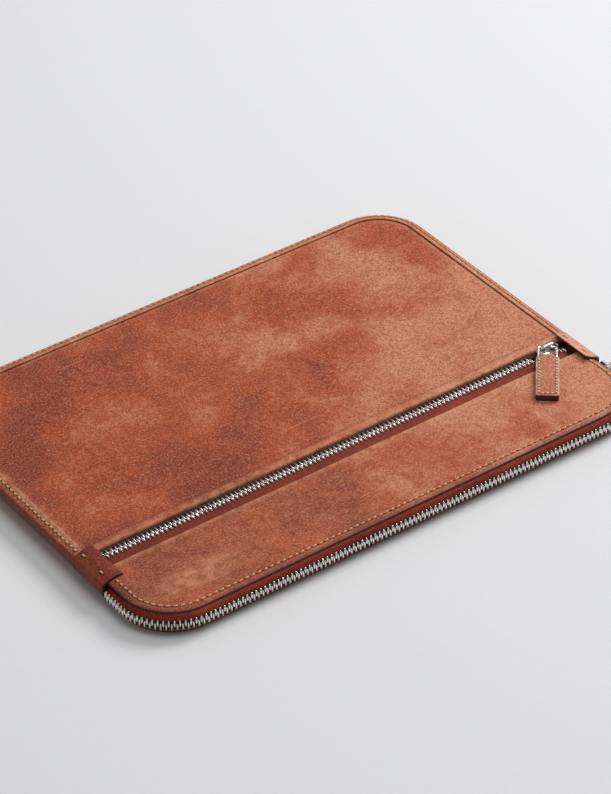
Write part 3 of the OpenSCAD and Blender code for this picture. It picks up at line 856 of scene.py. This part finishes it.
def tooth_shape(reach):
    """Points and faces of one tooth: along the zip, across it, and out of the tape."""
    w = TOOTH_W / 2
    outline = [(-w, reach), (w, reach), (w * 0.92, 0.5), (w * 0.86, -HOOK + 0.35), (w * 0.5, -HOOK),
               (-w * 0.5, -HOOK), (-w * 0.86, -HOOK + 0.35), (-w * 0.92, 0.5)]
    work = bmesh.new()
    ring = [work.verts.new((u, v, -TOOTH_T / 2)) for u, v in outline]
    face = work.faces.new(ring)
    raised = bmesh.ops.extrude_face_region(work, geom=[face])["geom"]
    for item in raised:
        if isinstance(item, bmesh.types.BMVert):
            item.co.z += TOOTH_T
    bmesh.ops.bevel(work, geom=work.edges[:], offset=0.13, segments=2, affect="EDGES", clamp_overlap=True)
    work.verts.index_update()
    points = [tuple(v.co) for v in work.verts]
    faces = [tuple(v.index for v in f.verts) for f in work.faces]
    work.free()
    return points, faces


def tooth_row(name, places, reach, node, body_name):
    """places: (origin, along, across, out) of each tooth."""
    tooth_points, tooth_faces = tooth_shape(reach)
    points, faces = [], []
    for origin, along, across, out in places:
        base = len(points)
        for u, v, w in tooth_points:
            points.append(tuple(origin[k] + u * along[k] + v * across[k] + w * out[k] for k in range(3)))
        faces += [tuple(base + i for i in f) for f in tooth_faces]
    row = piece(name, points, faces, [NICKEL])
    dress(row, body_name, "nickel", node)
    print("  teeth:", len(places))


for side, node in ((1, "pocket_teeth_upper"), (-1, "pocket_teeth_lower")):
    first, last = low(node).x + END_GAP, high(node).x - END_GAP
    count = round((last - first) / PITCH)
    places = []
    for i in range(count + 1):
        x = first + i * PITCH
        slope = (arch(x + 1, POCKET_Y) - arch(x - 1, POCKET_Y)) / 2
        origin = (x, POCKET_Y, POCKET_Z + arch(x, POCKET_Y))
        places.append((origin, (1, 0, slope), (0, side, 0), (-slope, 0, 1)))
    for past, apart in PARTED:
        origin = (POCKET_X + past, POCKET_Y + side * apart, POCKET_Z)
        places.append((origin, (1, 0, 0), (0, side, 0), (0, 0, 1)))
    tooth_row(node + "_row", places, POCKET_REACH, node, "case")


def along_mouth(s, start_y, inset):
    """Point and inward direction at distance s along the line that is set in from the mouth's outline."""
    r = FRONT_R - inset
    y_turn = FRONT_Y + FRONT_R
    runs = [start_y - y_turn, r * math.pi / 2, 2 * (HALF_W - FRONT_R), r * math.pi / 2]
    x_turn = HALF_W - FRONT_R
    if s < runs[0]:
        return (-HALF_W + inset, start_y - s), (1, 0)
    s -= runs[0]
    if s < runs[1]:
        a = math.pi + s / r
        return (-x_turn + r * math.cos(a), y_turn + r * math.sin(a)), (-math.cos(a), -math.sin(a))
    s -= runs[1]
    if s < runs[2]:
        return (-x_turn + s, FRONT_Y + inset), (0, 1)
    s -= runs[2]
    if s < runs[3]:
        a = 1.5 * math.pi + s / r
        return (x_turn + r * math.cos(a), y_turn + r * math.sin(a)), (-math.cos(a), -math.sin(a))
    return (HALF_W - inset, y_turn + s - runs[3]), (-1, 0)


TOOTH_IN = TOOTH_T / 2
MOUTH_START = high("main_teeth_front").y - END_GAP
MAIN_COUNT = 132
for side, node, body_name in ((1, "main_teeth_front", "mouth_flap"), (-1, "main_teeth_back", "case")):
    places = []
    for i in range(MAIN_COUNT):
        (x, y), (nx, ny) = along_mouth((i + (0 if side > 0 else 0.5)) * PITCH, MOUTH_START, TOOTH_IN)
        places.append(((x, y, MID_Z), (-ny, nx, 0), (0, 0, side), (-nx, -ny, 0)))
    tooth_row(node + "_row", places, MOUTH_REACH, node, body_name)

# %% [markdown]
# ## The pocket zip's tapes
# Two flat tapes carry the pocket's teeth. The upper one soon goes under the turned edge. The lower one
# shows as a reddish band, faced with the same thin leather as the gusset.

# %% Pocket tapes
# Side of the zip, node, far edge of the tape from the centre line, and what faces it
TAPES = ((1, "pocket_tape_upper", 8.0, TAPE), (-1, "pocket_tape_lower", 13.0, GUSSET))
TAPE_OVER, TAPE_T, TAPE_SWELL = 0.25, 0.5, 0.75
for side, node, far, facing in TAPES:
    x0, x1 = low(node).x, high(node).x
    count = 90
    across = [0.5, 1.0, 2.0, 3.0, 3.4, 4.2, 5.2, 6.4, 7.6, 8.6, far]
    outer, inner = [], []
    for i in range(count + 1):
        x = x0 + (x1 - x0) * i / count
        rise = arch(x, POCKET_Y)
        row = []
        for v in across:
            swell = 0.0
            if side < 0:
                swell = TAPE_SWELL * smooth((v - 3.0) / 1.6) * (1 - smooth((v - 7.4) / 2.2))
            row.append((x, POCKET_Y + side * v, POCKET_Z + TAPE_OVER + rise + swell))
        outer.append(row)
        inner.append([(a, b, c - TAPE_T) for a, b, c in row])
    tape = sheet(node + "_band", outer, inner, [facing, TAPE, TAPE])
    tag(tape, "wear_and_highlight", lambda x, y, z: 0.0)
    # Darker within about 3 mm of the teeth: painted shade beside and between them
    tag(tape, "painted_shade", lambda x, y, z: 0.6 * (1 - smooth((abs(y - POCKET_Y) - 3.0) / 1.0)))
    dress(tape, "case", "zip_tape", node)

stops = frame["nodes"]["pocket_zip_stop"]
stops.data.materials.clear()
stops.data.materials.append(NICKEL)
soften(stops, 0.25)


# %% [markdown]
# ## Stitching
# The case is saddle stitched: thread passes through awl holes 3.5 mm apart and dips into the leather at
# each. A bump map would be cheaper, but a stitch catches the light as a solid thing, so each is a short
# curved tube between two dark cups that stand for the holes, painted as the shade inside them. Each stitch
# slants a little, as hand stitches do. Those on the pulls are finer.

# %% Stitching
def stitch_row(name, centres, materials, length=2.3, radius=0.45, slant=0.16, hole=0.48):
    """centres: (point, along, up) of each stitch; along and up are unit vectors."""
    rings, sides = 7, 7
    points, faces, kinds = [], [], []
    for centre, along, up in centres:
        c, t, n = Vector(centre), Vector(along), Vector(up)
        b = n.cross(t)
        base = len(points)
        for i in range(rings):
            s = 2 * i / (rings - 1) - 1
            lift = radius * (0.85 - 1.5 * s ** 4)
            mid = c + t * (s * length / 2) + b * (slant * s) + n * lift
            fat = radius * (1 - 0.35 * s ** 4)
            for k in range(sides):
                a = 2 * math.pi * k / sides
                points.append(tuple(mid + b * (fat * math.cos(a)) + n * (fat * math.sin(a) * 0.85)))
        for i in range(rings - 1):
            for k in range(sides):
                m = (k + 1) % sides
                faces.append((base + i * sides + k, base + i * sides + m,
                              base + (i + 1) * sides + m, base + (i + 1) * sides + k))
                kinds.append(0)
        faces.append(tuple(base + k for k in range(sides)))
        faces.append(tuple(base + (rings - 1) * sides + k for k in reversed(range(sides))))
        kinds += [0, 0]
        # At each end a small dark cup, painted shade, stands for the awl hole
        for end in (-1, 1):
            base = len(points)
            pit = c + t * (end * (length / 2 + 0.12)) + b * (slant * end)
            for level, wide in ((0.05, hole), (-0.25, hole * 0.8)):
                for k in range(sides):
                    a = 2 * math.pi * k / sides
                    spoke = t * (wide * math.cos(a)) + b * (wide * math.sin(a))
                    points.append(tuple(pit + spoke + n * level))
            for k in range(sides):
                m = (k + 1) % sides
                faces.append((base + k, base + m, base + sides + m, base + sides + k))
                kinds.append(1)
            faces.append(tuple(base + k for k in range(sides)))
            faces.append(tuple(base + sides + k for k in reversed(range(sides))))
            kinds += [1, 1]
    return piece(name, points, faces, materials, kinds)


def on_surface(x, y, side, over=0.0):
    return Vector((x, y, middle(x, y) + side * (height(x, y, side) + over)))


def spaced(path, inset, pitch):
    """Evenly spaced (x, y, along) on the line set in from an edge path."""
    line = [inside(s, inset) for s in path]
    found, carry = [], pitch / 2
    for (x0, y0), (x1, y1) in zip(line, line[1:]):
        run = math.hypot(x1 - x0, y1 - y0)
        while carry < run:
            t = carry / run
            found.append((x0 + (x1 - x0) * t, y0 + (y1 - y0) * t, ((x1 - x0) / run, (y1 - y0) / run)))
            carry += pitch
        carry -= run
    return found


def edge_stitches(path, inset, side, over, lift=0.0):
    centres = []
    for x, y, (tx, ty) in spaced(path, inset, STITCH_PITCH):
        p = on_surface(x, y, side, over)
        ahead = on_surface(x + tx * 0.5, y + ty * 0.5, side, over)
        aside = on_surface(x - ty * 0.5, y + tx * 0.5, side, over)
        t = (ahead - p).normalized()
        n = t.cross(aside - p).normalized()
        if n.z * side < 0:
            n = -n
        centres.append((p + n * lift, t, n))
    return centres


VISIBLE_BACK_PATH = edge_path(False, TAB_BACK + 1)
rows = edge_stitches(VISIBLE_BACK_PATH, STITCH_IN, 1, BINDING_T)
rows += edge_stitches(VISIBLE_BACK_PATH, STITCH_IN, -1, BINDING_T)
dress(stitch_row("binding_stitches", rows, [THREAD, HOLE_SHADE]), "case", "thread", "binding_stitching")

rows = edge_stitches(MOUTH_PATH, PANEL_IN + STITCH_IN, 1, 0.0)
stitches = stitch_row("lower_panel_stitches", rows, [THREAD, HOLE_SHADE])
dress(stitches, "mouth_flap", "thread", "lower_panel_stitching")

# The underside's stitches are sunk into the leather, so that the case doesn't stand on them
SUNK = -0.3
# Places of a tab's two stitches, as shares of its length
TAB_STITCHES = (0.27, 0.86)
rows = edge_stitches(MOUTH_PATH, PANEL_IN + STITCH_IN, -1, 0.0, SUNK)
dress(stitch_row("back_panel_stitches", rows, [THREAD, HOLE_SHADE]), "case", "thread", "back_panel_stitching")

rows = []
for side in (-1, 1):
    for share in TAB_STITCHES:
        y = TAB_FRONT + (TAB_BACK - TAB_FRONT) * share
        x = side * (HALF_W - STITCH_IN - 0.6)
        p = on_surface(x, y, 1, TAB_T + 0.05)
        aside = on_surface(x + 0.5, y, 1, TAB_T + 0.05)
        n = (aside - p).normalized().cross(Vector((0, 1, 0))).normalized()
        rows.append((p, Vector((0, 1, 0)), n if n.z > 0 else -n))
dress(stitch_row("tab_stitch_pairs", rows, [THREAD, HOLE_SHADE], 2.6), "case", "thread", "tab_stitches")

# %% [markdown]
# ## Linings and inner pockets
# Inside, cotton lining covers the flesh side of the leather. The back carries a cloth document pocket with
# a dark edge, and a leather card pocket whose three slots are small steps. They are thin sheets that lie
# just off one another, so that they show when the mouth is open.

# %% Linings and pockets
LINING_IN, LINING_T = 3.6, 0.3


def lining(name, rows_of, face_z, body_name, node, ripple=0.05):
    """Thin cloth whose upper face lies at face_z(x, y), with slight ripples."""
    outer = [[(w * u, y, face_z(w * u, y) + ripple * noise.noise(Vector((w * u / 16, y / 12, 7.0))))
              for u in columns(90, 0.3)] for y, w in rows_of]
    inner = [[(x, y, z - LINING_T) for x, y, z in row] for row in outer]
    made = sheet(name, outer, inner, [LINING, LINING, LINING])
    return dress(made, body_name, "lining_cloth", node)


def between_faces(x, y, full):
    """Height over the middle plane of a lining that is full high in the middle and closes at the rim."""
    t = min(max((inset_of(x, y) - LINING_IN) / 8, 0), 1)
    return 0.3 + (full - 0.3) * t


back_full = MID_Z - low("back_lining").z - 0.35
front_full = high("front_lining").z - MID_Z
flap_full = high("flap_lining").z - MID_Z
all_rows = list(reversed(panel_rows(-20, FRONT_Y + LINING_IN, LINING_IN)))
all_rows += panel_rows(-19, BACK_Y - LINING_IN, LINING_IN)
rear_rows = [r for r in all_rows if r[0] > FOLD_Y + 0.5]
flap_rows = [r for r in all_rows if r[0] < FOLD_Y - 0.5]
lining("back_lining_cloth", all_rows, lambda x, y: MID_Z - between_faces(x, y, back_full), "case",
       "back_lining")
lining("front_lining_cloth", rear_rows, lambda x, y: MID_Z + between_faces(x, y, front_full - 0.1), "case",
       "front_lining")
lining("flap_lining_cloth", flap_rows, lambda x, y: MID_Z + between_faces(x, y, flap_full), "mouth_flap",
       "flap_lining")

lo, hi = low("pocket_lining"), high("pocket_lining")
# The pocket's bag stops short of the sides, and gets narrower towards the back
POCKET_SIDE, POCKET_TAPER, TAPER_FROM, TAPER_OVER = 17, 17, 40, 45
pocket_rows = [(y, HALF_W - POCKET_SIDE - POCKET_TAPER * smooth((y - TAPER_FROM) / TAPER_OVER))
               for y in np.linspace(lo.y + 1, hi.y - 1, 40)]
lining("pocket_lining_cloth", pocket_rows, lambda x, y: hi.z, "case", "pocket_lining", 0.0)


CARD_STEP, CARD_RISE = 12.0, 0.16


def flat_pocket(name, node, materials, slot, slots=0):
    """Thin pocket; each card slot is a step down towards the mouth."""
    lo, hi = low(node), high(node)
    count = 60
    outer = []
    for i in range(count + 1):
        y = lo.y + (hi.y - lo.y) * i / count
        step = 0.0
        for k in range(slots):
            edge = lo.y + (k + 1) * CARD_STEP
            step += CARD_RISE * smooth((y - edge) / 0.8)
        outer.append([(lo.x + (hi.x - lo.x) * j / 40, y, hi.z - 0.45 + step +
                       0.05 * noise.noise(Vector((j / 6, y / 15, 2.0)))) for j in range(41)])
    inner = [[(x, y, lo.z + 0.05) for x, y, z in row] for row in outer]
    made = sheet(name, outer, inner, materials)
    soften(made, 0.15)
    return dress(made, "case", slot, node)


flat_pocket("document_pocket_cloth", "document_pocket", [LINING, LINING, PAINTED], "lining_cloth")
cards = flat_pocket("card_pocket_leather", "card_pocket", [PANEL, FLESH, PAINTED], "cognac_leather", 3)
tag(cards, "wear_and_highlight", lambda x, y, z: 0.0)
tag(cards, "painted_shade", lambda x, y, z: 0.0)

# %% [markdown]
# ## Sliders
# A slider is die-cast: an outer plate with a bridge on it, and an inner plate. Its plates are wider at the
# end where the rows part. A real one has a wedge between the plates, which unhooks the rows. Here the rows
# stay hooked as the slider moves, so the hidden wedge is left out and nothing cuts into the teeth. Each
# slider is built about the middle of the teeth, in its own coordinates, and then set on its zip.

# %% Sliders
SLIDER_L = high("pocket_slider").x - low("pocket_slider").x
SLIDER_W = high("pocket_slider").y - low("pocket_slider").y
PLATE_T, INNER_PLATE_T, SLIDE_GAP = 1.0, 0.7, 0.1
RING_Z = JOINTS["pocket_ring_flip"]["pos_m"][2] / MM - POCKET_Z
BRIDGE_TOP = high("pocket_slider").z - POCKET_Z
# The outer plate's round shoulders and the tail, which is narrower by this much on each side
SHOULDER_R, TAIL_R, TAIL_IN = 2.2, 1.0, 0.35
# The bridge: half its length, its corner radius, its thickness and half its width
BRIDGE_HALF, BRIDGE_R, BRIDGE_T, BRIDGE_SIDE = 3.8, 1.6, 0.95, 1.25


def block(work, outline, z0, z1, bevel):
    """Add an extruded outline with rounded edges to a bmesh."""
    ring = [work.verts.new((x, y, z0)) for x, y in outline]
    face = work.faces.new(ring)
    raised = bmesh.ops.extrude_face_region(work, geom=[face])["geom"]
    moved = [v for v in raised if isinstance(v, bmesh.types.BMVert)]
    for vert in moved:
        vert.co.z = z1
    edges = {e for v in ring + moved for e in v.link_edges}
    bmesh.ops.bevel(work, geom=list(edges), offset=bevel, segments=3, affect="EDGES", clamp_overlap=True)


def arc(cx, cy, r, from_deg, to_deg, steps=6):
    turns = [math.radians(from_deg + (to_deg - from_deg) * i / steps) for i in range(steps + 1)]
    return [(cx + r * math.cos(a), cy + r * math.sin(a)) for a in turns]


def slider_outline():
    """Heart-shaped plate: round shoulders where the rows part, narrower tail."""
    a, w = SLIDER_L / 2, SLIDER_W / 2
    half = arc(a - SHOULDER_R, w - SHOULDER_R, SHOULDER_R, 0, 90) + [(-0.5, w), (-a + 1.6, w - TAIL_IN)]
    half += arc(-a + TAIL_R, w - TAIL_IN - TAIL_R, TAIL_R, 90, 180)
    return half + [(x, -y) for x, y in reversed(half)]


def slider_points():
    """Points and faces of a slider: two plates, the outer plate's flanges and the bridge for the ring."""
    work = bmesh.new()
    z = TOOTH_T / 2 + SLIDE_GAP
    block(work, slider_outline(), z, z + PLATE_T, 0.3)
    block(work, slider_outline(), -z - INNER_PLATE_T, -z, 0.2)
    for side in (-1, 1):
        edge = side * (SLIDER_W / 2 - 0.35)
        block(work, [(-SLIDER_L / 4, edge - 0.28), (SLIDER_L / 4, edge - 0.28), (SLIDER_L / 4, edge + 0.28),
                     (-SLIDER_L / 4, edge + 0.28)], 0.62, z + 0.2, 0.1)
    foot, turn_x, turn_z = z + PLATE_T - 0.2, BRIDGE_HALF - BRIDGE_R, BRIDGE_TOP - BRIDGE_R
    loop = [(-BRIDGE_HALF, foot)]
    loop += arc(-turn_x, turn_z, BRIDGE_R, 180, 90)
    loop += arc(turn_x, turn_z, BRIDGE_R, 90, 0)
    loop += [(BRIDGE_HALF, foot), (BRIDGE_HALF - BRIDGE_T, foot)]
    loop += arc(turn_x, turn_z, BRIDGE_R - BRIDGE_T, 0, 90)
    loop += arc(-turn_x, turn_z, BRIDGE_R - BRIDGE_T, 90, 180)
    loop.append((-BRIDGE_HALF + BRIDGE_T, foot))
    before = set(work.verts)
    rings = []
    for y in (-BRIDGE_SIDE, BRIDGE_SIDE):
        rings.append([work.verts.new((px, y, pz)) for px, pz in loop])
    count = len(loop)
    for j in range(count):
        k = (j + 1) % count
        work.faces.new((rings[0][j], rings[0][k], rings[1][k], rings[1][j]))
    half = count // 2
    for ring in rings:
        for j in range(half - 1):
            work.faces.new((ring[j], ring[j + 1], ring[count - 2 - j], ring[count - 1 - j]))
    fresh = [v for v in work.verts if v not in before]
    sharp = [e for e in work.edges if e.verts[0] in fresh and e.verts[1] in fresh
             and len(e.link_faces) == 2 and e.calc_face_angle(0) > 0.7]
    bmesh.ops.bevel(work, geom=sharp, offset=0.22, segments=3, affect="EDGES", clamp_overlap=True)
    work.verts.index_update()
    points = [tuple(v.co) for v in work.verts]
    faces = [tuple(v.index for v in f.verts) for f in work.faces]
    work.free()
    return points, faces


def set_on(points, origin, along, across, out):
    """Move points from their own axes to a place on the case."""
    return [tuple(origin[k] + x * along[k] + y * across[k] + z * out[k] for k in range(3))
            for x, y, z in points]


# Each zip's slider: its place, the way it closes, across the teeth, and out of the zip
POCKET_HINGE, MAIN_HINGE = JOINTS["pocket_ring_flip"]["pos_m"], JOINTS["main_ring_flip"]["pos_m"]
PLACES = {
    "pocket": ((POCKET_HINGE[0] / MM, POCKET_Y, POCKET_Z), (1, 0, 0), (0, 1, 0), (0, 0, 1)),
    "main": ((MAIN_HINGE[0] / MM - RING_Z, MAIN_HINGE[1] / MM, MID_Z), (0, 1, 0), (0, 0, 1), (1, 0, 0)),
}
for zip_name, place in PLACES.items():
    points, faces = slider_points()
    made = piece(zip_name + "_slider_casting", set_on(points, *place), faces, [NICKEL])
    dress(made, zip_name + "_slider", "nickel", zip_name + "_slider")

# %% [markdown]
# ## Rings and leather pulls
# A bent wire ring links each slider to a leather pull. The pull is one strip folded round the ring's far
# bar, glued and stitched down both sides and across the end, with dark painted edges. The pocket's pull
# lies slantwise on the lower panel, as it fell.

# %% Rings and pulls
RING_W, RING_L, RING_R, WIRE = 9.2, 9.0, 1.3, 1.3
PULL_L, PULL_W, PULL_T = 35.6, 11.6, 3.6
EYE_W, SHOULDER = 7.0, 1.25
# Corner radii of the pull, at the eye's shoulder and at the far end
SHOULDER_CORNER, END_CORNER = 0.9, 1.3
# How far in the pull's stitches lie from its sides and its end, and how far apart they are
PULL_STITCH_IN, PULL_END_IN, PULL_PITCH = 1.45, 1.6, 2.35


def ring_points():
    """Round wire bent to a rectangle with round corners, in its own plane."""
    w = RING_W / 2 - RING_R
    line = (arc(RING_R, -w, RING_R, 180, 270, 8) + arc(RING_L - RING_R, -w, RING_R, 270, 360, 8)
            + arc(RING_L - RING_R, w, RING_R, 0, 90, 8) + arc(RING_R, w, RING_R, 90, 180, 8))
    count, sides = len(line), 12
    points, faces = [], []
    for i, (x, y) in enumerate(line):
        (ax, ay), (bx, by) = line[i - 1], line[(i + 1) % count]
        t = Vector((bx - ax, by - ay, 0)).normalized()
        n = Vector((-t.y, t.x, 0))
        for k in range(sides):
            a = 2 * math.pi * k / sides
            offset = n * (WIRE / 2 * math.cos(a))
            points.append(tuple(Vector((x, y, 0)) + offset + Vector((0, 0, WIRE / 2 * math.sin(a)))))
    for i in range(count):
        for k in range(sides):
            m, j = (k + 1) % sides, (i + 1) % count
            faces.append((i * sides + k, i * sides + m, j * sides + m, j * sides + k))
    return points, faces


def pull_half_width(u):
    """Half the pull's width at distance u from the ring's bar: a narrow eye, then the body."""
    end = PULL_L - PULL_T / 2
    if u < SHOULDER:
        return EYE_W / 2
    r, near = SHOULDER_CORNER, min(u - SHOULDER, SHOULDER_CORNER)
    width = PULL_W / 2 - r + math.sqrt(max(r ** 2 - (r - near) ** 2, 0))
    if u > end - END_CORNER:
        width -= END_CORNER - math.sqrt(max(END_CORNER ** 2 - (u - end + END_CORNER) ** 2, 0))
    return width


def pull_faces(origin, along, across, out):
    """Upper and lower face of a pull: rows of points at distances us from the ring's bar."""
    end = PULL_L - PULL_T / 2
    us = [-PULL_T / 2 * math.cos(math.pi / 2 * i / 7) for i in range(7)]
    us += [0, 0.6] + [SHOULDER + d for d in (-0.01, 0.05, 0.3, SHOULDER_CORNER)]
    us += list(np.linspace(SHOULDER + 1.8, end - 1.4, 30))
    us += [end - END_CORNER + END_CORNER * math.sin(math.pi / 2 * i / 6) for i in range(7)]
    vs = [math.sin(math.pi / 2 * (2 * j / 16 - 1)) * 0.35 + (2 * j / 16 - 1) * 0.65 for j in range(17)]
    top, bottom = [], []
    for u in us:
        half_t = PULL_T / 2 if u >= 0 else math.sqrt(max((PULL_T / 2) ** 2 - u * u, 0.0004))
        w = pull_half_width(u)
        crown = 0.16 * smooth(u / 4) * smooth((end - u) / 4)
        top.append([(u, v * w, half_t + crown * (1 - v * v) - 0.12 * v ** 6) for v in vs])
        bottom.append([(u, v * w, -half_t + 0.12 * v ** 6) for v in vs])
    return ([set_on(row, origin, along, across, out) for row in top],
            [set_on(row, origin, along, across, out) for row in bottom])


def pull_stitches(origin, along, across, out):
    start, end = 3.2, PULL_L - PULL_T / 2 - PULL_END_IN
    count = int((end - start) / PULL_PITCH)
    spots = [(start + (i + 0.5) * (end - start) / count, s * (PULL_W / 2 - PULL_STITCH_IN), (1, 0))
             for i in range(count) for s in (-1, 1)]
    spots += [(end, v, (0, 1)) for v in (-2.4, 0.0, 2.4)]
    o, a, c, n = (Vector(v) for v in (origin, along, across, out))
    face = n * (PULL_T / 2 + 0.03)
    return [(o + a * u + c * v + face, (a * t[0] + c * t[1]).normalized(), n) for u, v, t in spots]


for zip_name, place in PLACES.items():
    pivot = Vector(JOINTS[zip_name + "_ring_flip"]["pos_m"]) / MM
    eye = Vector(JOINTS[zip_name + "_pull_swing"]["pos_m"]) / MM
    along = (eye - pivot).normalized()
    out = Vector(place[3])
    across = out.cross(along)
    points, faces = ring_points()
    made = piece(zip_name + "_ring_wire", set_on(points, pivot, along, across, out), faces, [NICKEL])
    dress(made, zip_name + "_ring", "nickel", zip_name + "_ring")
    top, bottom = pull_faces(eye, along, across, out)
    made = sheet(zip_name + "_pull_leather", top, bottom, [PULL, PULL, PAINTED], (0, 2, 2, 2))
    # The pull is painted paler along both long edges: partly wear, partly a painted highlight on the
    # rounded rims
    tag(made, "wear_and_highlight", lambda x, y, z: 0.75 * smooth(
        (abs((Vector((x, y, z)) - eye).dot(across)) - PULL_W / 2 + 1.1) / 0.8))
    tag(made, "painted_shade", lambda x, y, z: 0.0)
    soften(made, 0.3, 3, 50)
    dress(made, zip_name + "_pull", "cognac_leather", zip_name + "_pull")
    rows = pull_stitches(eye, along, across, out)
    made = stitch_row(zip_name + "_pull_stitches", rows, [PALE_THREAD, HOLE_SHADE], 1.5, 0.4, 0.1, 0.42)
    dress(made, zip_name + "_pull", "thread", zip_name + "_pull_stitching")
